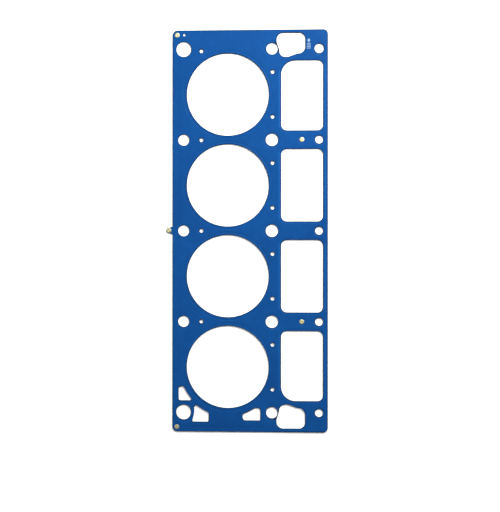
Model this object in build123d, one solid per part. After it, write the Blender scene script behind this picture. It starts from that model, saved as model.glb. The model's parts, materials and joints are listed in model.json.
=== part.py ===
from build123d import *
import os

# Cylinder head gasket for one bank of four cylinders, in millimetres.
# It is a stack of riveted steel sheets: two embossed, coated outer layers, a flat distance
# layer between them, and a stopper ring round each bore on the distance layer.
# The frame: X across the bank, Y along the bore row, Z up from the block. The origin is on the
# block face, on the bore row, midway between the two middle bores.

# Bore row and bolt rows
bore_count = 4
bore_pitch = 111.76
bore_web = 10.66
bolt_half_span = 54.4
edge_bolt_x = 112.2
row_count = bore_count + 1

# Outline
left_margin = 13.8
right_margin = 10.8
top_margin = 23.5
bottom_margin = 24.0
outline_corner_r = 6.0
tab_y = 0.4
tab_reach = 4.4
tab_root_half = 4.8
tab_nose_r = 3.35

# Round holes
dowel_hole_r = 9.1
left_bolt_r = 6.8
inner_end_bolt_r = 7.0
inner_bolt_r = 7.6
edge_bolt_r = 4.8
edge_end_bolt_r = 5.6
vent_r = 2.4
inner_vent_dx = 0.8
inner_vent_spacing = 55.0
outer_vent_x = -32.5
outer_end_vent_drop = 2.2
locating_hole_r = 1.6
locating_hole_from_dowel = (0.7, 17.9)

# Four windows over the pushrods, between the inner and the edge bolts
window_from_bolt = 11.3
window_rim = 5.95
bar_half = 11.45
end_bar = 14.4
window_corner_r = 7.0
window_end_corner_r = 17.5

# Large coolant opening beside each inner end bolt: corners from the bolt's centre, away from
# the middle of the bank, each with its fillet
coolant_corners = (
    (5.7, 19.5, 8.0),
    (40.75, 19.5, 7.5),
    (40.75, -5.0, 8.5),
    (30.1, -6.3, 9.0),
    (20.2, -9.9, 7.0),
    (9.0, -10.5, 7.5),
    (8.8, -1.0, 5.0),
    (5.7, 8.2, 5.0),
)

# Three small coolant openings round the last bore, each with one side concentric with it. Wall is
# the distance from the bore's bead to that side. Places are from the dowel hole's centre, or for
# the front one from the inner end bolt's. Radii are for the open corners and for the tight ones
side_slot_wall = 4.2
side_slot_x = -6.25
side_slot_y = (14.4, 31.7)
side_slot_radii = (2.8, 2.2)
corner_slot_wall = 5.6
corner_slot_left_x = (10.4, 13.0)
corner_slot_kink_y = -1.0
corner_slot_right_x = 31.1
corner_slot_bottom_y = -11.8
corner_slot_radii = (2.8, 1.5)
front_slot_wall = 5.1
front_slot_x = (-35.9, -14.1)
front_slot_y = (-9.8, 5.6)
front_slot_radii = (3.4, 1.0)

# Sheets and their forming
sheet_t = 0.25
distance_t = 0.80
form_depth = 0.22
ramp = 1.1
inner_setback = 0.20

# Stopper ring at the edge of each bore, and the full bead outside it
stopper_t = 0.10
stopper_width = 1.5
stopper_to_bead = 0.25
bead_width = 2.8

# Sunk lands: the reach of each from the edge of its hole, and the line of the band along the
# outline, which steps outwards to pass round the coolant openings
window_land = 3.1
left_bolt_land = 4.4
inner_land_r = 11.0
edge_bolt_land = 2.5
band_side = 8.9
band_slot_side = 3.8
band_slot_y = -184.5
band_end = 7.5
band_coolant_end = 1.9
band_coolant_x = 44.0
band_step_run = 9.0
band_corner_r = 5.0

# Brass rivets: shank, domed head on the head side, rolled tail on the block side
rivet_shank_r = 1.70
rivet_clearance = 0.05
rivet_land = 3.1
rivet_head_r = 2.9
rivet_head_rim = 0.16
rivet_head_h = 0.48
rivet_dimple_r = 1.25
rivet_dimple_depth = 0.26
rivet_tail_r = 2.6
rivet_tail_h = 0.38
rivet_bore_r = 1.10
rivet_bore_depth = 1.10
corner_rivet_from_edge = (5.5, 5.8)
bar_rivet_from_edge_bolt = 21.2

# Places worked out from the sizes above
bore_r = (bore_pitch - bore_web) / 2
stopper_inner_r = bore_r + inner_setback
bead_inner_r = stopper_inner_r + stopper_width + stopper_to_bead
bead_outer_r = bead_inner_r + bead_width
row_y = [(i - (row_count - 1) / 2) * bore_pitch for i in range(row_count)]
bore_y = [(i - (bore_count - 1) / 2) * bore_pitch for i in range(bore_count)]
first_row, last_row = row_y[0], row_y[-1]
edge_left = -(bolt_half_span + left_margin)
edge_right = edge_bolt_x + right_margin
edge_top = last_row + top_margin
edge_bottom = first_row - bottom_margin
window_left = bolt_half_span + window_from_bolt
window_right = edge_right - window_rim
tab_rivet_x = edge_left - tab_reach

distance_z = sheet_t + form_depth
head_land_z = distance_z + distance_t
head_field_z = head_land_z + form_depth

rivet_places = {
    "rivet_top_left": (edge_left + corner_rivet_from_edge[0], edge_top - corner_rivet_from_edge[1]),
    "rivet_bottom_left": (edge_left + corner_rivet_from_edge[0], edge_bottom + corner_rivet_from_edge[1]),
    "rivet_tab": (tab_rivet_x, tab_y),
    "rivet_upper_bar": (edge_bolt_x - bar_rivet_from_edge_bolt, row_y[-2]),
    "rivet_lower_bar": (edge_bolt_x - bar_rivet_from_edge_bolt, row_y[1]),
}


def disc(x, y, r):
    return Pos(x, y) * Circle(r)


def facing_up(sketch):
    face = sketch.face()
    return face if face.normal_at().Z > 0 else -face


def rounded(corners):
    """A closed outline of straight sides, from (x, y, fillet radius) corners."""
    line = FilletPolyline(*[(x, y) for x, y, r in corners], radius=[r for x, y, r in corners], close=True)
    return facing_up(make_face(line.edges()))


def rounded_box(x0, x1, y0, y1, r):
    return rounded([(x0, y0, r), (x1, y0, r), (x1, y1, r), (x0, y1, r)])


def with_tab(outline, inset):
    """Joins on the riveted tab: a nose round the rivet that widens to its root at the left edge."""
    nose = tab_nose_r - inset
    root = tab_root_half - inset
    wedge = Polygon(
        (tab_rivet_x, -nose),
        (edge_left, -root),
        (edge_left + tab_reach, -root),
        (edge_left + tab_reach, root),
        (edge_left, root),
        (tab_rivet_x, nose),
        align=None,
    )
    return outline + Pos(0, tab_y) * wedge + disc(tab_rivet_x, tab_y, nose)


def outline_face(inset):
    """The gasket's outer outline, taken in by inset."""
    plate = rounded_box(
        edge_left + inset, edge_right - inset, edge_bottom + inset, edge_top - inset, outline_corner_r - inset
    )
    return with_tab(plate, inset)


def window_faces():
    """The four pushrod windows. The first and last have one large corner, towards the end bolt."""
    faces = []
    for i in range(bore_count):
        low, high = row_y[i] + bar_half, row_y[i + 1] - bar_half
        radii = [window_corner_r, window_corner_r]
        if i == 0:
            low, radii = row_y[i] + end_bar, [window_end_corner_r, window_corner_r]
        if i == bore_count - 1:
            high, radii = row_y[i + 1] - end_bar, [window_corner_r, window_end_corner_r]
        faces.append(
            rounded(
                [
                    (window_left, low, radii[0]),
                    (window_right, low, window_corner_r),
                    (window_right, high, window_corner_r),
                    (window_left, high, radii[1]),
                ]
            )
        )
    return faces


def coolant_faces():
    """The large coolant opening at each end, one the mirror image of the other."""
    faces = []
    for y, way in ((last_row, 1), (first_row, -1)):
        faces.append(rounded([(bolt_half_span + dx, y + way * dy, r) for dx, dy, r in coolant_corners]))
    return faces


def box_face(x0, x1, y0, y1):
    return Pos((x0 + x1) / 2, (y0 + y1) / 2) * Rectangle(x1 - x0, y1 - y0)


def softened(face, r):
    """The face with its outward corners rounded, however many there are."""
    return offset(offset(face, -r), r)


def arc_sided(face, spreads, wall, radii):
    """A face kept clear of the last bore's bead. Each of spreads is it, drawn out past a tight corner's side."""
    open_r, tight_r = radii
    bead = disc(0, bore_y[0], bead_outer_r + wall)
    shape = softened(face - bead, tight_r)
    for spread in spreads:
        shape &= softened(spread - bead, open_r)
    return facing_up(shape)


def side_slot(reach):
    x = side_slot_x - bolt_half_span
    low, high = side_slot_y
    return box_face(x, 0, first_row + low - reach, first_row + high)


def corner_slot(reach):
    """Its left side runs down beside the dowel hole and turns away below it."""
    lower_x, upper_x = corner_slot_left_x
    corners = [
        (lower_x, corner_slot_bottom_y),
        (lower_x, corner_slot_bottom_y - reach),
        (corner_slot_right_x, corner_slot_bottom_y - reach),
        (corner_slot_right_x, bore_y[0] - first_row),
        (upper_x, bore_y[0] - first_row),
        (upper_x, corner_slot_kink_y),
    ]
    outline = corners if reach else corners[1:]
    return Pos(-bolt_half_span, first_row) * Polygon(*outline, align=None)


def front_slot(reach_right, reach_down):
    left, right = front_slot_x
    low, high = front_slot_y
    return Pos(bolt_half_span, first_row) * box_face(left, right + reach_right, low - reach_down, high)


def slot_faces():
    """Three small coolant openings at the last bore, in the corner with the lower dowel hole."""
    reach = bore_r
    return [
        arc_sided(side_slot(0), [side_slot(reach)], side_slot_wall, side_slot_radii),
        arc_sided(corner_slot(0), [corner_slot(reach)], corner_slot_wall, corner_slot_radii),
        arc_sided(front_slot(0, 0), [front_slot(reach, 0), front_slot(0, reach)], front_slot_wall, front_slot_radii),
    ]


def bolt_holes():
    """(x, y, radius, radius of its land) of each dowel and bolt hole."""
    holes = []
    for i, y in enumerate(row_y):
        left, inner, edge = left_bolt_r, inner_bolt_r, edge_bolt_r
        if i in (0, row_count - 1):
            left, inner = dowel_hole_r, inner_end_bolt_r
        if i == row_count - 1:
            edge = edge_end_bolt_r
        holes.append((-bolt_half_span, y, left, left + left_bolt_land))
        holes.append((bolt_half_span, y, inner, inner_land_r))
        holes.append((edge_bolt_x, y, edge, edge + edge_bolt_land))
    return holes


def vent_holes():
    """(x, y) of the steam holes: two beside each bore, and four in the outer column."""
    places = []
    for y in bore_y:
        places += [(bolt_half_span + inner_vent_dx, y + way * inner_vent_spacing / 2) for way in (-1, 1)]
    places += [(outer_vent_x, y) for y in row_y[1:-1]]
    places.append((outer_vent_x, last_row - outer_end_vent_drop))
    return places


def opening_faces(ease):
    """Every opening that goes through the whole stack, each made larger by ease. The dowels and
    bolts line up all the sheets, so their holes are one size throughout."""
    shaped = window_faces() + coolant_faces() + slot_faces()
    faces = [offset(f, ease) if ease else f for f in shaped]
    faces += [disc(0, y, bore_r + ease) for y in bore_y]
    faces += [disc(x, y, r) for x, y, r, land_r in bolt_holes()]
    faces += [disc(x, y, vent_r + ease) for x, y in vent_holes()]
    dx, dy = locating_hole_from_dowel
    faces.append(disc(-bolt_half_span + dx, last_row + dy, locating_hole_r + ease))
    return faces


def rivet_hole_faces():
    return [disc(x, y, rivet_shank_r + rivet_clearance) for x, y in rivet_places.values()]


def sheet_face(inset):
    """The outline less every opening. inset draws all the edges back into the sheet."""
    return outline_face(inset) - opening_faces(inset) - rivet_hole_faces()


def sunk(face):
    """A hollow under z = 0 with sloping sides: face is its rim, and its floor is at form_depth."""
    floor = Pos(0, 0, -form_depth) * offset(face, -ramp)
    return loft([floor.face(), face.face()], ruled=True)


def sunk_disc(x, y, r):
    return Pos(x, y, -form_depth / 2) * Cone(r - ramp, r, form_depth)


def blank_box(height):
    """A block larger than the gasket all round, up or down from z = 0."""
    margin = 2 * band_end
    return extrude(
        box_face(edge_left - margin, edge_right + margin, edge_bottom - margin, edge_top + margin), height
    )


def band_hollow():
    """The band along the outline, sunk outside one line. The right edge has no band."""
    side, slot_side = edge_left + band_side, edge_left + band_slot_side
    beyond = edge_right + 2 * band_end
    top, coolant_top = edge_top - band_end, edge_top - band_coolant_end
    bottom, coolant_bottom = edge_bottom + band_end, edge_bottom + band_coolant_end
    corners = [
        (side, top),
        (side, band_slot_y),
        (slot_side, band_slot_y - band_step_run),
        (slot_side, bottom),
        (band_coolant_x, bottom),
        (band_coolant_x + band_step_run, coolant_bottom),
        (beyond, coolant_bottom),
        (beyond, coolant_top),
        (band_coolant_x + band_step_run, coolant_top),
        (band_coolant_x, top),
    ]
    line = rounded([(x, y, band_corner_r) for x, y in corners])
    floor_line = Pos(0, 0, -form_depth) * offset(line, ramp)
    return blank_box(-form_depth) - loft([floor_line.face(), line], ruled=True)


def bead_groove(y):
    """The full bead round a bore, a groove with sloping sides."""
    crest = (bead_inner_r + ramp, bead_outer_r - ramp)
    section = Plane.XZ * Polygon(
        (bead_inner_r, 0), (bead_outer_r, 0), (crest[1], -form_depth), (crest[0], -form_depth), align=None
    )
    return Pos(0, y, 0) * revolve(section, Axis.Z)


def formed_hollows():
    """Everything that the press sinks into an outer layer, as one body under z = 0."""
    hollows = [sunk(offset(f, window_land)) for f in window_faces()]
    hollows += [sunk_disc(x, y, land_r) for x, y, r, land_r in bolt_holes()]
    hollows += [sunk_disc(x, y, rivet_head_r + rivet_land) for x, y in rivet_places.values()]
    hollows += [bead_groove(y) for y in bore_y]
    return band_hollow() + hollows


def outer_layer():
    """An embossed outer layer with its field from z = 0 to sheet_t and its lands below."""
    hollows = formed_hollows()
    formed = blank_box(sheet_t) + hollows - Pos(0, 0, sheet_t) * hollows
    cutter = extrude(Pos(0, 0, -form_depth - 1) * sheet_face(0), form_depth + sheet_t + 2)
    return formed & cutter


def distance_layer():
    return Pos(0, 0, distance_z) * extrude(sheet_face(inner_setback), distance_t)


def stopper_ring(y):
    """A thin ring welded to the distance layer, between the bore's edge and its bead."""
    ring = disc(0, y, stopper_inner_r + stopper_width) - disc(0, y, stopper_inner_r)
    return Pos(0, 0, head_land_z) * extrude(ring, stopper_t)


def cap_radius(r, height):
    """The radius of the sphere that a cap of that rim radius and height is part of."""
    return (r**2 + height**2) / (2 * height)


def rivet():
    """A semi-tubular rivet on the Z axis: domed head with a dimple above, rolled open tail below."""
    seat, tail_seat = head_land_z + sheet_t, form_depth
    top, end = seat + rivet_head_h, tail_seat - rivet_tail_h
    dome_r = cap_radius(rivet_head_r, rivet_head_h - rivet_head_rim)
    dimple_r = cap_radius(rivet_dimple_r, rivet_dimple_depth)
    roll = rivet_tail_h / 2
    base = (Align.CENTER, Align.CENTER, Align.MIN)
    head = Pos(0, 0, seat) * Cylinder(rivet_head_r, rivet_head_h, align=base)
    head = head & Pos(0, 0, top - dome_r) * Sphere(dome_r)
    head = head - Pos(0, 0, top - rivet_dimple_depth + dimple_r) * Sphere(dimple_r)
    shank = Pos(0, 0, end) * Cylinder(rivet_shank_r, seat - end, align=base)
    tail = Pos(0, 0, end) * Cylinder(rivet_tail_r - roll, rivet_tail_h, align=base)
    tail = tail + Pos(0, 0, end + roll) * Torus(rivet_tail_r - roll, roll)
    bore = Pos(0, 0, end) * Cylinder(rivet_bore_r, rivet_bore_depth, align=base)
    flare = Pos(0, 0, end) * Cone(rivet_bore_r + roll, rivet_bore_r, roll, align=base)
    return head + shank + tail - bore - flare


def write(shape, node):
    shape.label = node
    export_step(shape, f"parts/{node}.step")


os.makedirs("parts", exist_ok=True)

layer = outer_layer()
write(Pos(0, 0, head_field_z) * layer, "outer_layer_head_side")
write(Pos(0, 0, sheet_t) * mirror(layer, Plane.XY), "outer_layer_block_side")
write(distance_layer(), "distance_layer")
for number, y in enumerate(reversed(bore_y), start=1):
    write(stopper_ring(y), f"stopper_ring_{number}")
one_rivet = rivet()
for node, (x, y) in rivet_places.items():
    write(Pos(x, y, 0) * one_rivet, node)
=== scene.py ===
"""Cylinder head gasket: two coated sheets, brass rivets and a printed mark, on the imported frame."""

import json
import math

import bmesh
import bpy
from mathutils import Euler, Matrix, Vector

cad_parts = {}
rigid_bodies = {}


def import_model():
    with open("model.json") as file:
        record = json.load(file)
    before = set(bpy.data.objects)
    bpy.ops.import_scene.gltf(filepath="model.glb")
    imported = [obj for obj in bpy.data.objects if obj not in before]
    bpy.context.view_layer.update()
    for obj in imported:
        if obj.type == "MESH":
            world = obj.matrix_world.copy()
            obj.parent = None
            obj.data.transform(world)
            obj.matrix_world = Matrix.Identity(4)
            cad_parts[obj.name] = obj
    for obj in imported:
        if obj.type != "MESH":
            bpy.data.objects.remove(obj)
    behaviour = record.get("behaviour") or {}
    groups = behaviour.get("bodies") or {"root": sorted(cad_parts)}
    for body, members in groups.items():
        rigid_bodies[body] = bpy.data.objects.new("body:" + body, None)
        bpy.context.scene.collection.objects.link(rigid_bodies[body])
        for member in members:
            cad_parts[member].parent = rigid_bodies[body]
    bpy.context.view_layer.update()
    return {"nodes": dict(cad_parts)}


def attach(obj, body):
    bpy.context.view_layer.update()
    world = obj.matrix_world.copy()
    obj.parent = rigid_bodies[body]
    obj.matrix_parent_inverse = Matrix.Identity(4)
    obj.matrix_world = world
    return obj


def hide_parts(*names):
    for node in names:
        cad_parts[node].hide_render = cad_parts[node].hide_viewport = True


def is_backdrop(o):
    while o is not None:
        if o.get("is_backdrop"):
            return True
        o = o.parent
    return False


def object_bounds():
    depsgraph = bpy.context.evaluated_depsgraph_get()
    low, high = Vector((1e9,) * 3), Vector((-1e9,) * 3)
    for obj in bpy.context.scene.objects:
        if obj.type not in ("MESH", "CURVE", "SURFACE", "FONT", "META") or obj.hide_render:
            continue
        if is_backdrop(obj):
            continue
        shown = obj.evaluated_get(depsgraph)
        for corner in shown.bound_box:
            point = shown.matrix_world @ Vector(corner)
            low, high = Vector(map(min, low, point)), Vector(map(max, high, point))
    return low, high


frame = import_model()

bl_info = {
    "name": "Cylinder head gasket",
    "version": (1, 0, 0),
    "blender": (4, 5, 0),
    "location": "3D View > Sidebar > Gasket",
    "description": "Models a riveted steel head gasket with a blue coating",
    "category": "Object",
}

MM = 0.001
DEGREE = math.radians(1)

# How near two points lie, in millimetres, to be the same point, or to be welded after a cut or a spin
SAME_POINT = 1e-4
WELD = 1e-3

# Places on the sheets, in millimetres in the frame's own axes: X across the bank, Y along the bores
BORE_PITCH = 111.76
BORE_Y = [(i - 1.5) * BORE_PITCH for i in range(4)]
ROW_Y = [(i - 2) * BORE_PITCH for i in range(5)]
BOLT_X = 54.4
EDGE_BOLT_X = 112.2
LEFT, RIGHT = -BOLT_X - 13.8, EDGE_BOLT_X + 10.8
BOTTOM, TOP = ROW_Y[0] - 24.0, ROW_Y[-1] + 23.5
OUTLINE_R = 6.0
TAB_Y = 0.4
TAB_X = LEFT - 4.4
TAB_ROOT_HALF = 4.8
TAB_NOSE_R = 3.35

# Holes
BORE_R = 50.55
DOWEL_R = 9.1
LEFT_BOLT_R = 6.8
INNER_END_BOLT_R = 7.0
INNER_BOLT_R = 7.6
EDGE_BOLT_R = 4.8
EDGE_END_BOLT_R = 5.6
VENT_R = 2.4
INNER_VENT_X = BOLT_X + 0.8
INNER_VENT_DY = 27.5
OUTER_VENT_X = -BOLT_X + 21.9
OUTER_END_VENT_DROP = 2.2
LOCATING_R = 1.6
LOCATING_AT = (-BOLT_X + 0.7, ROW_Y[-1] + 17.9)

# Windows over the pushrods
WINDOW_X = (BOLT_X + 11.3, RIGHT - 5.95)
BAR_HALF = 11.45
END_BAR = 14.4
WINDOW_R = 7.0
WINDOW_END_R = 17.5

# Corners of the coolant opening beside each inner end bolt: from the bolt's centre, with each fillet
COOLANT = (
    (5.7, 19.5, 8.0),
    (5.7, 8.2, 5.0),
    (8.8, -1.0, 5.0),
    (9.0, -10.5, 7.5),
    (20.2, -9.9, 7.0),
    (30.1, -6.3, 9.0),
    (40.75, -5.0, 8.5),
    (40.75, 19.5, 7.5),
)

# The bead round each bore: its inner and outer radius
BEAD_R = (BORE_R + 1.95, BORE_R + 4.75)

# Three small coolant openings round the last bore: x and y of their straight sides, the wall that
# their curved side keeps from the bead, and the fillets of their open and their tight corners
SIDE_SLOT = {
    "x": -BOLT_X - 6.25,
    "y": (ROW_Y[0] + 14.4, ROW_Y[0] + 31.7),
    "wall": 4.2,
    "open": 2.8,
    "tight": 2.2,
}
CORNER_SLOT = {
    "x": (-BOLT_X + 10.4, -BOLT_X + 13.0, -BOLT_X + 31.1),
    "y": (ROW_Y[0] - 11.8, ROW_Y[0] - 1.0),
    "wall": 5.6,
    "open": 2.8,
    "tight": 1.5,
}
FRONT_SLOT = {
    "x": (BOLT_X - 35.9, BOLT_X - 14.1),
    "y": (ROW_Y[0] - 9.8, ROW_Y[0] + 5.6),
    "wall": 5.1,
    "open": 3.4,
    "tight": 1.0,
}

# Sunk lands: their reach from each hole, and the line of the band that follows the outline
WINDOW_LAND = 3.1
LEFT_BOLT_LAND = 4.4
INNER_LAND_R = 11.0
EDGE_BOLT_LAND = 2.5
RIVET_LAND_R = 6.0
BAND_SIDE = LEFT + 8.9
BAND_SLOT_SIDE = LEFT + 3.8
BAND_SLOT_Y = ROW_Y[0] + 39.02
BAND_END = 7.5
BAND_COOLANT_END = 1.9
BAND_COOLANT_X = BOLT_X - 10.4
BAND_STEP = 9.0
BAND_R = 5.0

# Heights of the stack, from the block face
STACK_TOP = 1.74
FORM_DEPTH = 0.22
LAND_TOP = STACK_TOP - FORM_DEPTH
RIVET_TAIL_SEAT = FORM_DEPTH

RIVETS = {
    "rivet_top_left": (LEFT + 5.5, TOP - 5.8),
    "rivet_bottom_left": (LEFT + 5.5, BOTTOM + 5.8),
    "rivet_tab": (TAB_X, TAB_Y),
    "rivet_upper_bar": (EDGE_BOLT_X - 21.2, ROW_Y[3]),
    "rivet_lower_bar": (EDGE_BOLT_X - 21.2, ROW_Y[1]),
}
RIVET_HOLE_R = 1.75

# Brass rivet: domed head with a dimple, shank, and a rolled, open tail
RIVET_SHANK_R = 1.70
RIVET_HEAD_R = 2.9
RIVET_HEAD_RIM = 0.16
RIVET_HEAD_H = 0.48
RIVET_DIMPLE_R = 1.25
RIVET_DIMPLE_DEPTH = 0.26
RIVET_TAIL_R = 2.6
RIVET_TAIL_H = 0.38
RIVET_BORE_R = 1.10
RIVET_BORE_DEPTH = 1.10
RIVET_BORE_CONE = RIVET_BORE_R / 3
RIVET_EDGE_R = 0.05
RIVET_EDGE_ANGLE = 40 * DEGREE
RIVET_SMOOTH_ANGLE = 30 * DEGREE
ROLL_STEPS = 12
DOME_STEPS = 24
RIVET_SEGMENTS = 72

# Printed mark beside the top coolant opening: an arrow over a row of bars
MARK_X = (EDGE_BOLT_X - 15.2, EDGE_BOLT_X - 10.4)
MARK_Y = (TOP - 23.62, TOP - 11.12)
MARK_HEAD = 3.0
MARK_STEM = 1.8
MARK_STEM_SHARE = 0.32
MARK_BAR = 0.8
MARK_BAR_R = 0.24
MARK_BAR_PITCH = 1.9
MARK_BARS = 4

# Stage: soft lights, each with its place, its size and its share of the power
FLOOR_SIZE = 6.0
LIGHTS = (
    ("key", (0.45, 0.55, 0.70), (0.7, 0.5), 1.0),
    ("left_fill", (-1.05, 0.10, 0.90), (0.8, 1.2), 0.41),
)

# How the sheets are formed. FREE is how far the dies and punches stand clear of the sheet. The overlaps
# are how far above the sheet a slope and a rolled edge start, as a share of their first step.
# SMALL_ROLL is the width of the rolled edge on the smallest holes
SLOPE_STEPS = 6
SLOPE_OVERLAP = 0.5
ROLL_OVERLAP = 0.5
SMALL_ROLL = 0.3
FREE = 1.0
BLANK_MARGIN = 20
NOSE_FILLET_SHARE = 0.999
BORE_SEGMENTS = 256
HOLE_SEGMENTS = 96
TURN_SEGMENTS = 96
LEAST_TURN_SEGMENTS = 6

# Where the painted rim shade and the painted slope highlight lie. At a rim, the wall's normal leans up or
# down by less than WALL_LEAN and the top's points up by more than TOP_LEVEL. The slope highlight is painted
# within the reach below of the edge of a window's land, between two shares of the slope's depth
WALL_LEAN = 0.3
TOP_LEVEL = 0.5
HIGHLIGHT_REACH = 1.2
HIGHLIGHT_DOWN = (0.1, 0.9)
HIGHLIGHT_LEVEL = 0.9

# Scales of the noises in the finishes, in patches per metre
CLOUD_SCALE = 14
MOTTLE_SCALE = 110
GRAIN_SCALE = 1500
COATING_BUMP_SCALE = 700
STEEL_LINE_SCALE = 2200
BRASS_PATCH_SCALE = 600
BRASS_BUMP_SCALE = 5000
INK_SCALE = 1800
FLOOR_SCALE = 3


def deselect():
    if bpy.context.mode != "OBJECT":
        bpy.ops.object.mode_set(mode="OBJECT")
    bpy.ops.object.select_all(action="DESELECT")


def start_piece(name):
    """A new, empty piece at the origin, open in edit mode for its first primitive."""
    deselect()
    piece = bpy.data.objects.new(name, bpy.data.meshes.new(name))
    bpy.context.collection.objects.link(piece)
    bpy.context.view_layer.objects.active = piece
    piece.select_set(True)
    bpy.ops.object.mode_set(mode="EDIT")
    bpy.ops.mesh.select_mode(type="VERT")
    return piece


def edit(piece):
    deselect()
    bpy.context.view_layer.objects.active = piece
    piece.select_set(True)
    bpy.ops.object.mode_set(mode="EDIT")


def pick_verts(test):
    """Selects the points of the piece in edit mode that pass the test."""
    mesh = bmesh.from_edit_mesh(bpy.context.edit_object.data)
    for vert in mesh.verts:
        vert.select_set(bool(test(vert)))
    mesh.select_flush_mode()
    bmesh.update_edit_mesh(bpy.context.edit_object.data)


def pick_faces(test):
    bpy.ops.mesh.select_mode(type="FACE")
    mesh = bmesh.from_edit_mesh(bpy.context.edit_object.data)
    for face in mesh.faces:
        face.select_set(bool(test(face)))
    mesh.select_flush_mode()
    bmesh.update_edit_mesh(bpy.context.edit_object.data)


def polygon(points):
    """Adds a flat face, or an open loop if the points stand upright, through (x, y, z) points in mm."""
    upright = len({round(p[2], 6) for p in points}) > 1
    bpy.ops.mesh.primitive_circle_add(
        vertices=len(points), radius=MM, fill_type="NOTHING" if upright else "NGON", location=(0, 0, 0)
    )
    mesh = bmesh.from_edit_mesh(bpy.context.edit_object.data)
    mesh.verts.ensure_lookup_table()
    first = len(mesh.verts) - len(points)
    for number, point in enumerate(points):
        mesh = bmesh.from_edit_mesh(bpy.context.edit_object.data)
        mesh.verts.ensure_lookup_table()
        start = mesh.verts[first + number].co.copy()
        pick_verts(lambda vert: vert.index == first + number)
        bpy.ops.transform.translate(value=[p * MM - s for p, s in zip(point, start)])
    pick_verts(lambda vert: vert.index >= first)


def turn_at(corners, number):
    """The angle that the outline turns by at a corner, in radians: negative where it turns inwards."""
    (ax, ay), (bx, by), (cx, cy) = (corners[(number + step) % len(corners)][:2] for step in (-1, 0, 1))
    incoming, outgoing = math.atan2(by - ay, bx - ax), math.atan2(cy - by, cx - bx)
    return (outgoing - incoming + math.pi) % math.tau - math.pi


def grown(corners, reach):
    """The outline moved outwards by reach. Corners run anticlockwise, each (x, y, fillet radius)."""
    result = []
    for number, (x, y, r) in enumerate(corners):
        ax, ay = corners[number - 1][:2]
        half = turn_at(corners, number) / 2
        way = math.atan2(y - ay, x - ax) + half - math.pi / 2
        shift = reach / math.cos(half)
        fillet = r + math.copysign(reach, half) if r else 0
        result.append((x + shift * math.cos(way), y + shift * math.sin(way), fillet))
    return result


def is_at(vert, x, y, z):
    """Whether a point lies at a place given in mm."""
    return (vert.co.xy / MM - Vector((x, y))).length < SAME_POINT and abs(vert.co.z / MM - z) < SAME_POINT


def rounded_face(corners, z):
    """Adds a flat face at height z and rounds its corners. It stays selected."""
    polygon([(x, y, z) for x, y, r in corners])
    for number, (x, y, r) in enumerate(corners):
        turn = abs(turn_at(corners, number))
        if not r or not turn:
            continue
        pick_verts(lambda vert: is_at(vert, x, y, z))
        bpy.ops.mesh.bevel(
            offset=r * math.tan(turn / 2) * MM,
            offset_type="OFFSET",
            segments=max(LEAST_TURN_SEGMENTS, round(TURN_SEGMENTS * turn / math.tau)),
            profile=0.5,
            affect="VERTICES",
            clamp_overlap=False,
        )
    bpy.ops.mesh.select_linked()


def round_face(x, y, r, z, segments):
    bpy.ops.mesh.primitive_circle_add(
        vertices=segments, radius=r * MM, fill_type="NGON", location=(x * MM, y * MM, z * MM)
    )


def start_face(shape, reach, z):
    """Adds the flat face of a hole or land, grown by reach. Its shape is a disc's (x, y, r) or corners."""
    if isinstance(shape, tuple):
        x, y, r = shape
        round_face(x, y, r + reach, z, BORE_SEGMENTS if r >= BORE_R else HOLE_SEGMENTS)
    else:
        rounded_face(grown(shape, reach), z)


def pull_down(drop):
    """Pulls the selected face down into a block, or up where the drop is negative."""
    bpy.ops.mesh.extrude_region_move(TRANSFORM_OT_translate={"value": (0, 0, -drop * MM)})


def taper(inset, drop):
    """Insets the selected face and moves it down."""
    bpy.ops.mesh.inset(thickness=inset * MM, depth=0)
    bpy.ops.transform.translate(value=(0, 0, -drop * MM))


def smooth_step(t):
    return t * t * (3 - 2 * t)


def slope(ramp, depth):
    """(inset, drop) of each step down a land's slope, which starts and ends level."""
    steps = [smooth_step(i / SLOPE_STEPS) * depth for i in range(SLOPE_STEPS + 1)]
    return [(ramp / SLOPE_STEPS, low - high) for high, low in zip(steps, steps[1:])]


def land_die(shape, ramp, depth):
    """Adds a die that presses one land: straight down to the field, then in along the slope."""
    steps = slope(ramp, depth)
    first_inset, first_drop = steps[0]
    over = SLOPE_OVERLAP * first_drop
    start_face(shape, SLOPE_OVERLAP * first_inset, FREE)
    pull_down(FREE - over)
    taper(first_inset * (1 + SLOPE_OVERLAP), first_drop + over)
    for inset, drop in steps[1:]:
        taper(inset, drop)


def punch(shape, level, roll_width, roll_drop):
    """Adds a punch for one opening, with a collar that rolls its edge down from the given level."""
    over = ROLL_OVERLAP * roll_drop
    start_face(shape, roll_width * (1 + ROLL_OVERLAP), FREE)
    pull_down(FREE - level - over)
    taper(roll_width * (1 + ROLL_OVERLAP), roll_drop + over)
    pull_down(2 * FREE)


def bead_die(y, ramp, depth):
    """Adds the ring that presses the bead round a bore, spun from its section."""
    inner, outer = BEAD_R
    steps = slope(ramp, depth)
    over_r, over_z = SLOPE_OVERLAP * steps[0][0], SLOPE_OVERLAP * steps[0][1]
    side = [(0.0, 0.0)]
    for inset, drop in steps:
        side.append((side[-1][0] + inset, side[-1][1] - drop))
    side[0] = (-over_r, over_z)
    left = [(inner + dx, z) for dx, z in side]
    right = [(outer - dx, z) for dx, z in reversed(side)]
    section = [(inner - over_r, FREE)] + left + right + [(outer + over_r, FREE)]
    polygon([(r, y, z) for r, z in section])
    bpy.ops.mesh.spin(steps=BORE_SEGMENTS, angle=math.tau, center=(0, y * MM, 0), axis=(0, 0, 1))
    bpy.ops.mesh.select_linked()
    bpy.ops.mesh.remove_doubles(threshold=SAME_POINT * MM)


def close_tool():
    """Turns every face of the tool in edit mode outwards, and leaves edit mode."""
    bpy.ops.mesh.select_all(action="SELECT")
    bpy.ops.mesh.normals_make_consistent(inside=False)
    bpy.ops.object.mode_set(mode="OBJECT")


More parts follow.
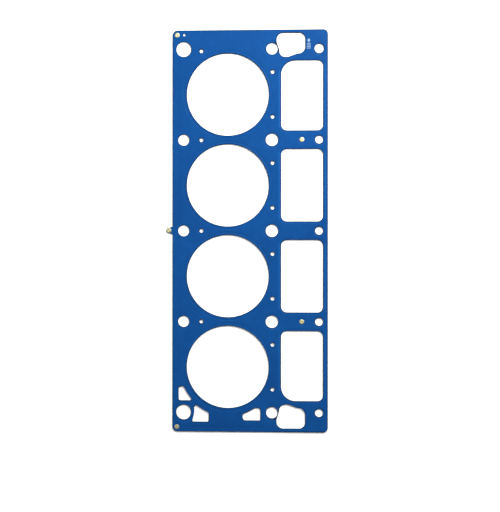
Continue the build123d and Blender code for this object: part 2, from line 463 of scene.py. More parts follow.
def cut(piece, tool, operation):
    """Cuts, joins or trims the piece with the tool, which is then deleted."""
    deselect()
    bpy.context.view_layer.objects.active = piece
    piece.select_set(True)
    bpy.ops.object.modifier_add(type="BOOLEAN")
    modifier = piece.modifiers[-1]
    modifier.operation = operation
    modifier.object = tool
    modifier.solver = "MANIFOLD"
    bpy.ops.object.modifier_apply(modifier=modifier.name)
    if not len(piece.data.polygons):
        raise RuntimeError(f"{piece.name} was lost when {tool.name} was applied")
    bpy.data.objects.remove(tool, do_unlink=True)


def box_corners(x0, x1, y0, y1, r):
    return [(x1, y1, r), (x0, y1, r), (x0, y0, r), (x1, y0, r)]


def outline_corners():
    """The sheet's outline with its riveted tab, anticlockwise."""
    nose, tip = TAB_NOSE_R, TAB_X - TAB_NOSE_R
    return [
        (RIGHT, TOP, OUTLINE_R),
        (LEFT, TOP, OUTLINE_R),
        (LEFT, TAB_Y + TAB_ROOT_HALF, 0),
        (TAB_X, TAB_Y + nose, 0),
        (tip, TAB_Y + nose, nose * NOSE_FILLET_SHARE),
        (tip, TAB_Y - nose, nose * NOSE_FILLET_SHARE),
        (TAB_X, TAB_Y - nose, 0),
        (LEFT, TAB_Y - TAB_ROOT_HALF, 0),
        (LEFT, BOTTOM, OUTLINE_R),
        (RIGHT, BOTTOM, OUTLINE_R),
    ]


def band_corners():
    """The line inside which the sheet keeps its full height. It passes out beyond the right edge."""
    beyond = RIGHT + 2 * BAND_END
    top, coolant_top = TOP - BAND_END, TOP - BAND_COOLANT_END
    bottom, coolant_bottom = BOTTOM + BAND_END, BOTTOM + BAND_COOLANT_END
    turn = BAND_COOLANT_X + BAND_STEP
    return [
        (beyond, coolant_top, 0),
        (turn, coolant_top, BAND_R),
        (BAND_COOLANT_X, top, BAND_R),
        (BAND_SIDE, top, BAND_R),
        (BAND_SIDE, BAND_SLOT_Y, BAND_R),
        (BAND_SLOT_SIDE, BAND_SLOT_Y - BAND_STEP, BAND_R),
        (BAND_SLOT_SIDE, bottom, BAND_R),
        (BAND_COOLANT_X, bottom, BAND_R),
        (turn, coolant_bottom, BAND_R),
        (beyond, coolant_bottom, 0),
    ]


def window_corners(number):
    """One of the four windows, from the bottom. The end ones have a large corner by the end bolt."""
    x0, x1 = WINDOW_X
    low, high = ROW_Y[number] + BAR_HALF, ROW_Y[number + 1] - BAR_HALF
    low_r = high_r = WINDOW_R
    if number == 0:
        low, low_r = ROW_Y[number] + END_BAR, WINDOW_END_R
    if number == len(BORE_Y) - 1:
        high, high_r = ROW_Y[number + 1] - END_BAR, WINDOW_END_R
    return [(x1, high, WINDOW_R), (x0, high, high_r), (x0, low, low_r), (x1, low, WINDOW_R)]


def coolant_corners(way):
    """The large coolant opening at the top (way 1) or, turned over, at the bottom (way -1)."""
    corners = [(BOLT_X + dx, way * (ROW_Y[-1] + dy), r) for dx, dy, r in COOLANT]
    return corners if way > 0 else corners[::-1]


def tangent_corners(side_a, side_b, wall):
    """Corners that make a side concentric with the last bore, between two straight sides.

    Each side is ("x" or "y", its place, the way to the opening's inside, its fillet). The first and
    last corners take the fillets, and the middle one, with the wall's own radius, is the curved side."""
    radius = BEAD_R[1] + wall
    centre = Vector((0, BORE_Y[0]))
    touches, pieces = [], []
    for axis, place, inside, fillet in (side_a, side_b):
        along = place + inside * fillet - (centre.x if axis == "x" else centre.y)
        across = math.sqrt((radius + fillet) ** 2 - along**2)
        if axis == "x":
            touch = Vector((along, -across))
        else:
            touch = Vector((math.copysign(across, side_b[1] if side_a[0] == "y" else side_a[1]), along))
        touches.append(touch.normalized())
    for touch, (axis, place, inside, fillet) in zip(touches, (side_a, side_b)):
        if axis == "x":
            other = (radius - touch.x * (place - centre.x)) / touch.y + centre.y
            pieces.append((place, other, fillet))
        else:
            other = (radius - touch.y * (place - centre.y)) / touch.x + centre.x
            pieces.append((other, place, fillet))
    half = touches[0].angle(touches[1]) / 2
    pole = centre + (touches[0] + touches[1]).normalized() * radius / math.cos(half)
    return [pieces[0], (pole.x, pole.y, radius), pieces[1]]


def slot_corners():
    """The three small coolant openings in the corner with the lower dowel hole, anticlockwise."""
    side, corner, front = SIDE_SLOT, CORNER_SLOT, FRONT_SLOT
    side_arc = tangent_corners(
        ("y", side["y"][0], 1, side["tight"]), ("y", side["y"][1], -1, side["open"]), side["wall"]
    )
    corner_arc = tangent_corners(
        ("x", corner["x"][2], -1, corner["open"]), ("x", corner["x"][1], 1, corner["open"]), corner["wall"]
    )
    front_arc = tangent_corners(
        ("y", front["y"][1], -1, front["open"]), ("x", front["x"][0], 1, front["open"]), front["wall"]
    )
    return [
        [(side["x"], side["y"][1], side["open"]), (side["x"], side["y"][0], side["tight"])] + side_arc,
        corner_arc
        + [
            (corner["x"][1], corner["y"][1], 0),
            (corner["x"][0], corner["y"][0], corner["tight"]),
            (corner["x"][2], corner["y"][0], corner["tight"]),
        ],
        front_arc
        + [
            (front["x"][0], front["y"][0], front["open"]),
            (front["x"][1], front["y"][0], front["tight"]),
            (front["x"][1], front["y"][1], front["open"]),
        ],
    ]


def bolt_holes():
    """(x, y, radius, radius of its land) of each dowel and bolt hole, by column."""
    ends = (ROW_Y[0], ROW_Y[-1])
    left, inner, edge = [], [], []
    for y in ROW_Y:
        left_r = DOWEL_R if y in ends else LEFT_BOLT_R
        edge_r = EDGE_END_BOLT_R if y == ROW_Y[-1] else EDGE_BOLT_R
        left.append((-BOLT_X, y, left_r, left_r + LEFT_BOLT_LAND))
        inner.append((BOLT_X, y, INNER_END_BOLT_R if y in ends else INNER_BOLT_R, INNER_LAND_R))
        edge.append((EDGE_BOLT_X, y, edge_r, edge_r + EDGE_BOLT_LAND))
    return left, inner, edge


def vent_holes():
    places = [(INNER_VENT_X, y + way * INNER_VENT_DY) for y in BORE_Y for way in (-1, 1)]
    places += [(OUTER_VENT_X, y) for y in ROW_Y[1:-1]]
    return places + [(OUTER_VENT_X, ROW_Y[-1] - OUTER_END_VENT_DROP)]


class GasketSizes(bpy.types.PropertyGroup):
    sheet: bpy.props.FloatProperty(
        name="Sheet",
        description="Thickness of each outer sheet",
        default=0.25 * MM,
        min=0.1 * MM,
        unit="LENGTH",
    )
    form_depth: bpy.props.FloatProperty(
        name="Form depth",
        description="How far the lands and beads are pressed in",
        default=FORM_DEPTH * MM,
        unit="LENGTH",
    )
    ramp: bpy.props.FloatProperty(
        name="Slope", description="Width of the slope at the side of a land", default=1.1 * MM, unit="LENGTH"
    )
    roll_width: bpy.props.FloatProperty(
        name="Edge roll width", description="Width of the rolled edge", default=0.7 * MM, unit="LENGTH"
    )
    roll_drop: bpy.props.FloatProperty(
        name="Edge roll drop", description="Drop of the rolled edge", default=0.05 * MM, unit="LENGTH"
    )
    ink: bpy.props.FloatProperty(
        name="Ink", description="Thickness of the printed mark", default=0.02 * MM, unit="LENGTH"
    )


class GasketColours(bpy.types.PropertyGroup):
    coating: bpy.props.FloatVectorProperty(
        name="Coating",
        description="Blue coating",
        subtype="COLOR",
        min=0,
        max=1,
        default=(0.0048, 0.0567, 0.208),
    )
    coating_deep: bpy.props.FloatVectorProperty(
        name="Coating, thick",
        description="Blue where the coating is thicker",
        subtype="COLOR",
        min=0,
        max=1,
        default=(0.0039, 0.0442, 0.167),
    )
    # Painted highlight: this lighter blue is laid on the slopes beside the windows where light would catch
    # them, not a stretched coating
    slope_highlight: bpy.props.FloatVectorProperty(
        name="Coating, thin",
        description="Blue where the slopes beside the windows stretch the coating",
        subtype="COLOR",
        min=0,
        max=1,
        default=(0.010, 0.0933, 0.308),
    )
    # Painted shade: dark blue laid along every punched edge
    rim_shade: bpy.props.FloatVectorProperty(
        name="Rim",
        description="Coating worn thin along punched edges",
        subtype="COLOR",
        min=0,
        max=1,
        default=(0.0022, 0.010, 0.0267),
    )
    steel: bpy.props.FloatVectorProperty(
        name="Steel",
        description="Bare sheet steel",
        subtype="COLOR",
        min=0,
        max=1,
        default=(0.50, 0.50, 0.49),
    )
    brass: bpy.props.FloatVectorProperty(
        name="Brass",
        description="Rivets",
        subtype="COLOR",
        min=0,
        max=1,
        default=(0.53, 0.53, 0.33),
    )
    ink: bpy.props.FloatVectorProperty(
        name="Ink",
        description="Printed mark",
        subtype="COLOR",
        min=0,
        max=1,
        default=(0.167, 0.267, 0.367),
    )


class GasketStage(bpy.types.PropertyGroup):
    floor: bpy.props.FloatVectorProperty(
        name="Floor",
        description="Floor colour",
        subtype="COLOR",
        min=0,
        max=1,
        default=(0.95, 0.95, 0.95),
    )
    key_power: bpy.props.FloatProperty(
        name="Key", description="Power of the key light, in watts", default=20.0
    )
    fill: bpy.props.FloatProperty(name="Fill", description="Strength of the light all round", default=0.30)
    lens: bpy.props.FloatProperty(name="Lens", description="Focal length in millimetres", default=70.29)
    distance: bpy.props.FloatProperty(
        name="Distance", description="From the camera to the gasket", default=1.2, unit="LENGTH"
    )
    tilt: bpy.props.FloatProperty(
        name="Tilt",
        description="Lean of the view towards the right edge",
        default=2.61 * DEGREE,
        subtype="ANGLE",
    )
    roll: bpy.props.FloatProperty(
        name="Roll",
        description="Roll of the camera",
        default=0.04 * DEGREE,
        subtype="ANGLE",
    )
    aim: bpy.props.FloatVectorProperty(
        name="Aim",
        description="What the camera looks at",
        subtype="TRANSLATION",
        default=(27.44 * MM, -31.12 * MM, STACK_TOP * MM),
    )


def new_material(name):
    """A material with a shader that is ready for its colour, and its tree and shader."""
    material = bpy.data.materials.new(name)
    material.use_nodes = True
    return material, material.node_tree, material.node_tree.nodes["Principled BSDF"]


def object_noise(tree, scale, detail, roughness=0.5):
    """The value of a noise that is fixed to the piece."""
    place = tree.nodes.new("ShaderNodeTexCoord")
    noise = tree.nodes.new("ShaderNodeTexNoise")
    noise.inputs["Scale"].default_value = scale
    noise.inputs["Detail"].default_value = detail
    noise.inputs["Roughness"].default_value = roughness
    tree.links.new(place.outputs["Object"], noise.inputs["Vector"])
    return noise.outputs["Fac"]


def spread(tree, value, low, high, new_low=0.0, new_high=1.0):
    """The value with the range low to high drawn out over another range."""
    node = tree.nodes.new("ShaderNodeMapRange")
    node.inputs["From Min"].default_value = low
    node.inputs["From Max"].default_value = high
    node.inputs["To Min"].default_value = new_low
    node.inputs["To Max"].default_value = new_high
    tree.links.new(value, node.inputs["Value"])
    return node.outputs["Result"]


def blend_colours(tree, amount, first, second):
    """A colour between two others, each a colour or the output of a node."""
    node = tree.nodes.new("ShaderNodeMix")
    node.data_type = "RGBA"
    tree.links.new(amount, node.inputs["Factor"])
    for name, colour in (("A", first), ("B", second)):
        socket = [s for s in node.inputs if s.name == name and s.type == "RGBA"][0]
        if isinstance(colour, bpy.types.NodeSocket):
            tree.links.new(colour, socket)
        else:
            socket.default_value = (*colour, 1)
    return [s for s in node.outputs if s.type == "RGBA"][0]


def bumped(tree, shader, height, distance, strength=1.0):
    node = tree.nodes.new("ShaderNodeBump")
    node.inputs["Strength"].default_value = strength
    node.inputs["Distance"].default_value = distance
    tree.links.new(height, node.inputs["Height"])
    tree.links.new(node.outputs["Normal"], shader.inputs["Normal"])


def painted(tree, name):
    """The value that an attribute of the mesh gives."""
    node = tree.nodes.new("ShaderNodeAttribute")
    node.attribute_name = name
    return node.outputs["Fac"]


def coating_material(colours):
    """Blue elastomer printed on steel: cloudy in thickness, faintly grained, painted dark along punched
    edges as shade, with a painted highlight on the slopes beside the windows.
    """
    material, tree, shader = new_material("blue_coating")
    cloud = spread(tree, object_noise(tree, CLOUD_SCALE, 4, 0.6), 0.35, 0.68)
    mottle = spread(tree, object_noise(tree, MOTTLE_SCALE, 4, 0.6), 0.35, 0.68, 0.0, 0.55)
    grain = spread(tree, object_noise(tree, GRAIN_SCALE, 3, 0.6), 0.3, 0.7)
    base = blend_colours(tree, cloud, colours.coating, colours.coating_deep)
    base = blend_colours(tree, mottle, base, colours.coating_deep)
    base = blend_colours(tree, spread(tree, grain, 0, 1, 0, 0.22), base, colours.coating_deep)
    # Painted highlight: lighter blue on the slopes beside the windows
    slope_highlight_mask = spread(tree, painted(tree, "slope_highlight_mask"), 0.0, 0.8)
    base = blend_colours(tree, slope_highlight_mask, base, colours.slope_highlight)
    # Painted shade: the coating turns dark blue along every punched edge
    base = blend_colours(tree, spread(tree, painted(tree, "rim_shade"), 0.0, 0.12), base, colours.rim_shade)
    tree.links.new(base, shader.inputs["Base Color"])
    tree.links.new(spread(tree, grain, 0, 1, 0.36, 0.46), shader.inputs["Roughness"])
    shader.inputs["Specular IOR Level"].default_value = 0.025
    bumped(tree, shader, object_noise(tree, COATING_BUMP_SCALE, 2), 0.006 * MM, 0.5)
    return material


def steel_material(name, colours):
    """Cold rolled steel with its fine rolling lines along the bores."""
    material, tree, shader = new_material(name)
    place = tree.nodes.new("ShaderNodeTexCoord")
    lines = tree.nodes.new("ShaderNodeMapping")
    lines.inputs["Scale"].default_value = (1, 0.02, 1)
    noise = tree.nodes.new("ShaderNodeTexNoise")
    noise.inputs["Scale"].default_value = STEEL_LINE_SCALE
    noise.inputs["Detail"].default_value = 3
    tree.links.new(place.outputs["Object"], lines.inputs["Vector"])
    tree.links.new(lines.outputs["Vector"], noise.inputs["Vector"])
    darker = [part * 0.72 for part in colours.steel]
    streaks = spread(tree, noise.outputs["Fac"], 0.3, 0.7)
    tree.links.new(blend_colours(tree, streaks, colours.steel, darker), shader.inputs["Base Color"])
    tree.links.new(spread(tree, streaks, 0, 1, 0.26, 0.42), shader.inputs["Roughness"])
    shader.inputs["Metallic"].default_value = 1.0
    bumped(tree, shader, noise.outputs["Fac"], 0.002 * MM, 0.5)
    return material


def brass_material(colours):
    """Brass with dull patches and fine marks from the rolling tool."""
    material, tree, shader = new_material("rivet_brass")
    patches = spread(tree, object_noise(tree, BRASS_PATCH_SCALE, 4, 0.6), 0.38, 0.66)
    darker = [part * share for part, share in zip(colours.brass, (0.88, 0.76, 0.58))]
    tree.links.new(blend_colours(tree, patches, colours.brass, darker), shader.inputs["Base Color"])
    tree.links.new(spread(tree, patches, 0, 1, 0.42, 0.58), shader.inputs["Roughness"])
    shader.inputs["Metallic"].default_value = 1.0
    bumped(tree, shader, object_noise(tree, BRASS_BUMP_SCALE, 2), 0.003 * MM, 0.5)
    return material


def ink_material(colours):
    """Pale ink, a little thin in places so that the coating shows."""
    material, tree, shader = new_material("printed_ink")
    thin = spread(tree, object_noise(tree, INK_SCALE, 3, 0.6), 0.5, 0.75, 0, 0.35)
    tree.links.new(blend_colours(tree, thin, colours.ink, colours.coating), shader.inputs["Base Color"])
    tree.links.new(spread(tree, thin, 0, 0.35, 0.5, 0.62), shader.inputs["Roughness"])
    shader.inputs["Specular IOR Level"].default_value = 0.3
    return material


def floor_material(colour):
    material, tree, shader = new_material("floor")
    shade = spread(tree, object_noise(tree, FLOOR_SCALE, 2), 0.3, 0.7)
    darker = [part * 0.985 for part in colour]
    tree.links.new(blend_colours(tree, shade, colour, darker), shader.inputs["Base Color"])
    shader.inputs["Roughness"].default_value = 0.9
    shader.inputs["Specular IOR Level"].default_value = 0.1
    return material


def place_material(piece, material):
    piece.data.materials.clear()
    piece.data.materials.append(material)


def pressed_blank(size):
    """The blank with its outline, band, lands and beads, as a solid block with the field at z = 0."""
    depth, ramp = size.form_depth / MM, size.ramp / MM
    blank = start_piece("head_side_sheet")
    edges = (LEFT - BLANK_MARGIN, RIGHT + BLANK_MARGIN, BOTTOM - BLANK_MARGIN, TOP + BLANK_MARGIN)
    rounded_face(box_corners(*edges, 0), -depth)
    pull_down(FREE)
    close_tool()

    raised = start_piece("raised_field")
    steps = slope(ramp, depth)
    rounded_face(grown(band_corners(), ramp), -depth - FREE / 2)
    pull_down(-FREE / 2)
    for inset, drop in reversed(steps):
        taper(inset, -drop)
    close_tool()
    cut(blank, raised, "UNION")

    outline = start_piece("outline_die")
    rounded_face(outline_corners(), FREE)
    pull_down(3 * FREE)
    close_tool()
    cut(blank, outline, "INTERSECT")

    left, inner, edge = bolt_holes()
    lands = start_piece("land_dies")
    for number in range(len(BORE_Y)):
        land_die(grown(window_corners(number), WINDOW_LAND), ramp, depth)
    for x, y, r, land_r in inner + edge:
        land_die((x, y, land_r), ramp, depth)
    for name in ("rivet_upper_bar", "rivet_lower_bar"):
        land_die((*RIVETS[name], RIVET_LAND_R), ramp, depth)
    for y in BORE_Y:
        bead_die(y, ramp, depth)
    close_tool()
    cut(blank, lands, "DIFFERENCE")

    lands = start_piece("left_land_dies")
    for x, y, r, land_r in left:
        land_die((x, y, land_r), ramp, depth)
    land_die((*RIVETS["rivet_tab"], RIVET_LAND_R), ramp, depth)
    close_tool()
    cut(blank, lands, "DIFFERENCE")

    lands = start_piece("corner_land_dies")
    for name in ("rivet_top_left", "rivet_bottom_left"):
        land_die((*RIVETS[name], RIVET_LAND_R), ramp, depth)
    close_tool()
    cut(blank, lands, "DIFFERENCE")
    return blank


def keep_skin(size):
    """Keeps only the upper skin of the piece in edit mode, with a strip along its outer edge."""
    pick_faces(lambda face: min(vert.co.z for vert in face.verts) < -size.form_depth - FREE / 2 * MM)
    bpy.ops.mesh.delete(type="FACE")
    bpy.ops.mesh.select_all(action="SELECT")
    bpy.ops.mesh.remove_doubles(threshold=WELD * MM)
    bpy.ops.mesh.inset(thickness=size.roll_width, depth=0, use_boundary=True)
    bpy.ops.mesh.select_mode(type="VERT")
    pick_verts(lambda vert: vert.co.z > 0)
    bpy.ops.transform.resize(value=(1, 1, 0), center_override=(0, 0, 0))


def is_upper_rim(vert):
    """Whether a point is on the upper edge of a wall."""
    heights = [face.normal.z for face in vert.link_faces]
    return min(map(abs, heights)) < WALL_LEAN and max(heights) > TOP_LEVEL


def opening_punches(size):
    """Every opening of the sheet, as one tool."""
    field, land = 0.0, -size.form_depth / MM
    width, drop = size.roll_width / MM, size.roll_drop / MM
    punches = start_piece("punches")
    for number in range(len(BORE_Y)):
        punch(window_corners(number), land, width, drop)
    for way in (1, -1):
        punch(coolant_corners(way), field, width, drop)
    for corners in slot_corners():
        punch(corners, field, width, drop)
    for y in BORE_Y:
        punch((0, y, BORE_R), field, width, drop)
    for x, y, r, land_r in sum(bolt_holes(), []):
        punch((x, y, r), land, width, drop)
    for x, y in vent_holes():
        punch((x, y, VENT_R), field, width, drop)
    punch((*LOCATING_AT, LOCATING_R), land, SMALL_ROLL, drop)
    for x, y in RIVETS.values():
        punch((x, y, RIVET_HOLE_R), land, SMALL_ROLL, drop)
    close_tool()
    return punches


# The points that get the painted highlight
def is_window_slope(vert, depth):
    """Whether a point is part of the way down the slope along a window's left or right side."""
    x, y, down = vert.co.x / MM, vert.co.y / MM, STACK_TOP - vert.co.z / MM
    land_x = (WINDOW_X[0] - WINDOW_LAND, WINDOW_X[1] + WINDOW_LAND)
    beside = min(abs(x - edge) for edge in land_x) < HIGHLIGHT_REACH
    past_bar = min(abs(y - row) for row in ROW_Y) > BAR_HALF - WINDOW_LAND
    on_slope = HIGHLIGHT_DOWN[0] * depth < down < HIGHLIGHT_DOWN[1] * depth
    return beside and past_bar and on_slope and vert.normal.z > HIGHLIGHT_LEVEL


def mark_finish(piece, depth):
    """Writes two attributes that mark where light is painted: one is 1 along rolled edges, where shade is
    painted, the other is 1 on the slopes by the windows, where a highlight is painted.
    """
    mesh = bmesh.new()
    mesh.from_mesh(piece.data)
    mesh.normal_update()
    place = Vector(LOCATING_AT)
    marks = {
        "rim_shade": [is_upper_rim(v) and (v.co.xy / MM - place).length > 2 * LOCATING_R for v in mesh.verts],
        "slope_highlight_mask": [is_window_slope(v, depth) for v in mesh.verts],
    }
    mesh.free()
    for name, values in marks.items():
        attribute = piece.data.attributes.new(name, "FLOAT", "POINT")
        attribute.data.foreach_set("value", [float(value) for value in values])


class GASKET_OT_head_side_sheet(bpy.types.Operator):
    """Presses, trims and punches the coated sheet that faces the cylinder head"""

    bl_idname = "gasket.head_side_sheet"
    bl_label = "Head side sheet"

    def execute(self, context):
        size = context.scene.gasket_sizes
        sheet = pressed_blank(size)
        edit(sheet)
        keep_skin(size)
        deselect()
        bpy.context.view_layer.objects.active = sheet
        sheet.select_set(True)
        bpy.ops.object.modifier_add(type="SOLIDIFY")
        modifier = sheet.modifiers[-1]
        modifier.thickness = size.sheet
        modifier.offset = -1
        bpy.ops.object.modifier_apply(modifier=modifier.name)
        edit(sheet)
        pick_verts(is_upper_rim)
        bpy.ops.transform.translate(value=(0, 0, -size.roll_drop))
        cut(sheet, opening_punches(size), "DIFFERENCE")
        edit(sheet)
        bpy.ops.mesh.select_all(action="SELECT")
        bpy.ops.transform.translate(value=(0, 0, STACK_TOP * MM))
        deselect()
        mark_finish(sheet, size.form_depth / MM)
        place_material(sheet, coating_material(context.scene.gasket_colours))
        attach(sheet, "root")
        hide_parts("outer_layer_head_side")
        return {"FINISHED"}


class GASKET_OT_block_side_sheet(bpy.types.Operator):
    """Copies the sheet and turns the copy over for the side of the engine block"""

    bl_idname = "gasket.block_side_sheet"
    bl_label = "Block side sheet"

    def execute(self, context):
        head_sheet = bpy.data.objects["head_side_sheet"]
        deselect()
        context.view_layer.objects.active = head_sheet
        head_sheet.select_set(True)
        bpy.ops.object.duplicate()
        sheet = context.view_layer.objects.active
        sheet.name = sheet.data.name = "block_side_sheet"
        edit(sheet)
        bpy.ops.mesh.select_all(action="SELECT")
        bpy.ops.transform.translate(value=(0, 0, -STACK_TOP * MM))
        bpy.ops.transform.mirror(
            orient_type="GLOBAL", constraint_axis=(False, False, True), center_override=(0, 0, 0)
        )
        bpy.ops.mesh.flip_normals()
        deselect()
        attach(sheet, "root")
        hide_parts("outer_layer_block_side")
        return {"FINISHED"}


def open_line(points):
    """Adds a line through (x, y, z) points in mm, whose ends aren't joined."""
    polygon(points)
    ends = [Vector(points[0]), Vector(points[-1])]
    mesh = bmesh.from_edit_mesh(bpy.context.edit_object.data)
    bpy.ops.mesh.select_mode(type="EDGE")
    for edge in mesh.edges:
        near = [min((vert.co / MM - end).length for vert in edge.verts) for end in ends]
        edge.select_set(max(near) < SAME_POINT)
    bmesh.update_edit_mesh(bpy.context.edit_object.data)
    bpy.ops.mesh.delete(type="EDGE")
    bpy.ops.mesh.select_mode(type="VERT")
    bpy.ops.mesh.select_all(action="SELECT")


def rivet_section():
    """(r, z) of half a rivet: up its bore, round its rolled tail, up its shank, and over its head."""
    tail_end = RIVET_TAIL_SEAT - RIVET_TAIL_H
    roll = RIVET_TAIL_H / 2
    roll_at = (RIVET_TAIL_R - roll, tail_end + roll)
    ceiling = tail_end + RIVET_BORE_DEPTH
    points = [(0, ceiling), (RIVET_BORE_R, ceiling - RIVET_BORE_CONE), (RIVET_BORE_R, tail_end + roll)]
    points.append((RIVET_BORE_R + roll, tail_end))
    for i in range(ROLL_STEPS + 1):
        angle = -math.pi / 2 + math.pi * i / ROLL_STEPS
        points.append((roll_at[0] + roll * math.cos(angle), roll_at[1] + roll * math.sin(angle)))
    points += [(RIVET_SHANK_R, RIVET_TAIL_SEAT), (RIVET_SHANK_R, LAND_TOP), (RIVET_HEAD_R, LAND_TOP)]
    top = LAND_TOP + RIVET_HEAD_H
    dome_h = RIVET_HEAD_H - RIVET_HEAD_RIM
    dome_r = (RIVET_HEAD_R**2 + dome_h**2) / (2 * dome_h)
    dimple_r = (RIVET_DIMPLE_R**2 + RIVET_DIMPLE_DEPTH**2) / (2 * RIVET_DIMPLE_DEPTH)
    for i in range(DOME_STEPS + 1):
        r = RIVET_HEAD_R * (1 - i / DOME_STEPS)
        dome = top - dome_r + math.sqrt(dome_r**2 - r**2)
        dimple = top - RIVET_DIMPLE_DEPTH + dimple_r - math.sqrt(dimple_r**2 - min(r, dimple_r) ** 2)
        points.append((r, min(dome, dimple)))
    return points


class GASKET_OT_rivets(bpy.types.Operator):
    """Spins one brass rivet from its section and copies it to the five places"""

    bl_idname = "gasket.rivets"
    bl_label = "Rivets"

    def execute(self, context):
        rivet = start_piece("brass_rivet")
        open_line([(r, 0, z) for r, z in rivet_section()])
        bpy.ops.mesh.spin(steps=RIVET_SEGMENTS, angle=math.tau, center=(0, 0, 0), axis=(0, 0, 1))
        bpy.ops.mesh.select_all(action="SELECT")
        bpy.ops.mesh.remove_doubles(threshold=WELD * MM)
        bpy.ops.mesh.normals_make_consistent(inside=False)
        deselect()
        rivet.select_set(True)
        bpy.ops.object.modifier_add(type="BEVEL")
        modifier = rivet.modifiers[-1]
        modifier.width = RIVET_EDGE_R * MM
        modifier.segments = 3
        modifier.limit_method = "ANGLE"
        modifier.angle_limit = RIVET_EDGE_ANGLE
        bpy.ops.object.modifier_apply(modifier=modifier.name)
        bpy.ops.object.shade_smooth_by_angle(angle=RIVET_SMOOTH_ANGLE)
        place_material(rivet, brass_material(context.scene.gasket_colours))
        for name, (x, y) in RIVETS.items():
            deselect()
            context.view_layer.objects.active = rivet
            rivet.select_set(True)
            bpy.ops.object.duplicate()
            piece = context.view_layer.objects.active
            piece.name = piece.data.name = "brass_" + name
            edit(piece)
            bpy.ops.mesh.select_all(action="SELECT")
            bpy.ops.transform.translate(value=(x * MM, y * MM, 0))
            deselect()
            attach(piece, "root")
            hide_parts(name)
        bpy.data.objects.remove(rivet, do_unlink=True)
        return {"FINISHED"}


def arrow_corners():
    """(x, y) of the printed arrow, from its point."""
    x0, x1 = MARK_X
    middle = (x0 + x1) / 2
    left, right = middle - MARK_STEM_SHARE * (x1 - x0) / 2, middle + MARK_STEM_SHARE * (x1 - x0) / 2
    neck = MARK_Y[1] - MARK_HEAD
    foot = neck - MARK_STEM
    head = [(middle, MARK_Y[1]), (x0, neck)]
    stem = [(left, neck), (left, foot), (right, foot), (right, neck)]
    return head + stem + [(x1, neck)]


class GASKET_OT_direction_mark(bpy.types.Operator):
    """Prints the arrow and bars that show which end goes to the front"""

    bl_idname = "gasket.direction_mark"
    bl_label = "Direction mark"

    def execute(self, context):
        ink = context.scene.gasket_sizes.ink / MM
        mark = start_piece("direction_mark")
        polygon([(x, y, STACK_TOP) for x, y in arrow_corners()])
        pull_down(-ink)
        for number in range(MARK_BARS):
            low = MARK_Y[0] + number * MARK_BAR_PITCH
            rounded_face(box_corners(*MARK_X, low, low + MARK_BAR, MARK_BAR_R), STACK_TOP)
            pull_down(-ink)
        close_tool()
        place_material(mark, ink_material(context.scene.gasket_colours))
        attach(mark, "root")
        return {"FINISHED"}


class GASKET_OT_inner_layers(bpy.types.Operator):
    """Gives the distance layer and the stopper rings their bare steel"""

    bl_idname = "gasket.inner_layers"
    bl_label = "Inner layers"

    def execute(self, context):
        steel = steel_material("sheet_steel", context.scene.gasket_colours)
        for name, node in frame["nodes"].items():
            if name.startswith(("distance_layer", "stopper_ring")):
                for place in node.material_slots:
                    place.material = steel
        return {"FINISHED"}


def add_light(name, place, aim, size, watts):
    bpy.ops.object.light_add(type="AREA", location=place)
    light = bpy.context.object
    light.name = name
    light.data.shape = "RECTANGLE"
    light.data.size, light.data.size_y = size
    light.data.energy = watts
    light.rotation_euler = (Vector(aim) - Vector(place)).to_track_quat("-Z", "Y").to_euler()


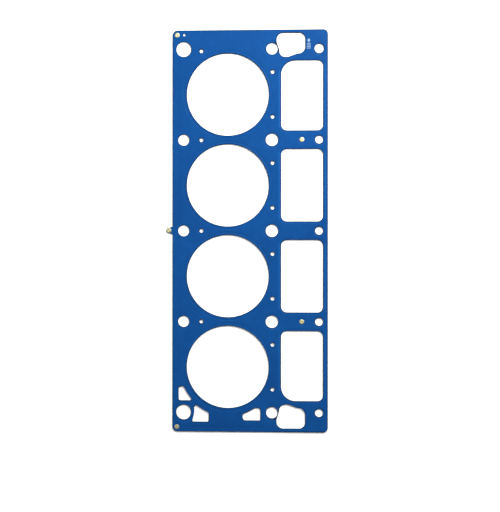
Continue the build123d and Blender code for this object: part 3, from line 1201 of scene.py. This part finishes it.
class GASKET_OT_stage(bpy.types.Operator):
    """Sets out the floor, the soft lights and the camera"""

    bl_idname = "gasket.stage"
    bl_label = "Stage"

    def execute(self, context):
        stage = context.scene.gasket_stage
        deselect()
        floor_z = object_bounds()[0][2]
        bpy.ops.mesh.primitive_plane_add(size=FLOOR_SIZE, location=(stage.aim[0], stage.aim[1], floor_z))
        floor = context.object
        floor.name = "floor"
        bpy.ops.object.transform_apply(location=True)
        place_material(floor, floor_material(stage.floor))
        floor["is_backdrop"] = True

        for name, place, size, share in LIGHTS:
            add_light(name, place, stage.aim, size, stage.key_power * share)
        world = bpy.data.worlds.new("soft_room")
        world.use_nodes = True
        world.node_tree.nodes["Background"].inputs["Color"].default_value = (1, 1, 1, 1)
        world.node_tree.nodes["Background"].inputs["Strength"].default_value = stage.fill
        context.scene.world = world
        context.scene.view_settings.view_transform = "Standard"

        turn = Euler((0, stage.tilt, stage.roll))
        place = Vector(stage.aim) + turn.to_matrix() @ Vector((0, 0, stage.distance))
        bpy.ops.object.camera_add(location=place, rotation=turn)
        camera = context.object
        camera.data.sensor_fit = "HORIZONTAL"
        camera.data.lens = stage.lens
        context.scene.camera = camera
        return {"FINISHED"}


class GASKET_PT_panel(bpy.types.Panel):
    """Sizes, colours and the steps that build the gasket"""

    bl_idname = "GASKET_PT_panel"
    bl_label = "Cylinder head gasket"
    bl_space_type = "VIEW_3D"
    bl_region_type = "UI"
    bl_category = "Gasket"

    def draw(self, context):
        for group in (context.scene.gasket_sizes, context.scene.gasket_colours, context.scene.gasket_stage):
            box = self.layout.box()
            for name in group.bl_rna.properties.keys():
                if name not in ("rna_type", "name"):
                    box.prop(group, name)
        for step in STEPS:
            self.layout.operator(step.bl_idname)


STEPS = (
    GASKET_OT_head_side_sheet,
    GASKET_OT_block_side_sheet,
    GASKET_OT_rivets,
    GASKET_OT_direction_mark,
    GASKET_OT_inner_layers,
    GASKET_OT_stage,
)
GROUPS = {"gasket_sizes": GasketSizes, "gasket_colours": GasketColours, "gasket_stage": GasketStage}


def register():
    for name, group in GROUPS.items():
        bpy.utils.register_class(group)
        setattr(bpy.types.Scene, name, bpy.props.PointerProperty(type=group))
    for step in STEPS:
        bpy.utils.register_class(step)
    bpy.utils.register_class(GASKET_PT_panel)


def unregister():
    bpy.utils.unregister_class(GASKET_PT_panel)
    for step in reversed(STEPS):
        bpy.utils.unregister_class(step)
    for name, group in GROUPS.items():
        delattr(bpy.types.Scene, name)
        bpy.utils.unregister_class(group)


def main():
    register()
    bpy.ops.gasket.head_side_sheet()
    bpy.ops.gasket.block_side_sheet()
    bpy.ops.gasket.rivets()
    bpy.ops.gasket.direction_mark()
    bpy.ops.gasket.inner_layers()
    bpy.ops.gasket.stage()


if __name__ == "__main__":
    main()
